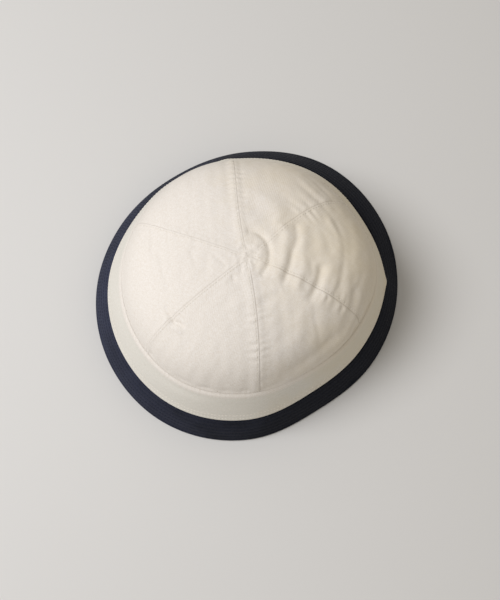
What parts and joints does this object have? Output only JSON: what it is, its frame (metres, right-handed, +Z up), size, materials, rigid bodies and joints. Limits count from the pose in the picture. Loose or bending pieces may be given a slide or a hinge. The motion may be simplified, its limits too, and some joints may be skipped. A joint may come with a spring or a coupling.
{
  "type": "sailor cap",
  "caption": "Soft sailor's deck cap: a low off-white cotton dome of sewn gores on a steep band, with a stitched navy brim turned down and a hollow for the head.",
  "frame": {"origin": "on the surface that the cap lies on, under the middle of the brim's bounding box", "axes": "+Z up through the crown, -Y to the near side of the cap as it lies, +X to its right"},
  "size_m": [0.249, 0.2488, 0.1115],
  "materials": {
    "off_white_twill": "matte unbleached cotton twill, sewn and washed",
    "navy_twill": "matte navy cotton twill with rows of stitching"
  },
  "bodies": {
    "root": {"crown_gore_1": "off_white_twill", "crown_gore_2": "off_white_twill", "crown_gore_3": "off_white_twill", "crown_gore_4": "off_white_twill", "crown_gore_5": "off_white_twill", "crown_gore_6": "off_white_twill", "band": "off_white_twill", "brim": "navy_twill"}
  },
  "joints": []
}
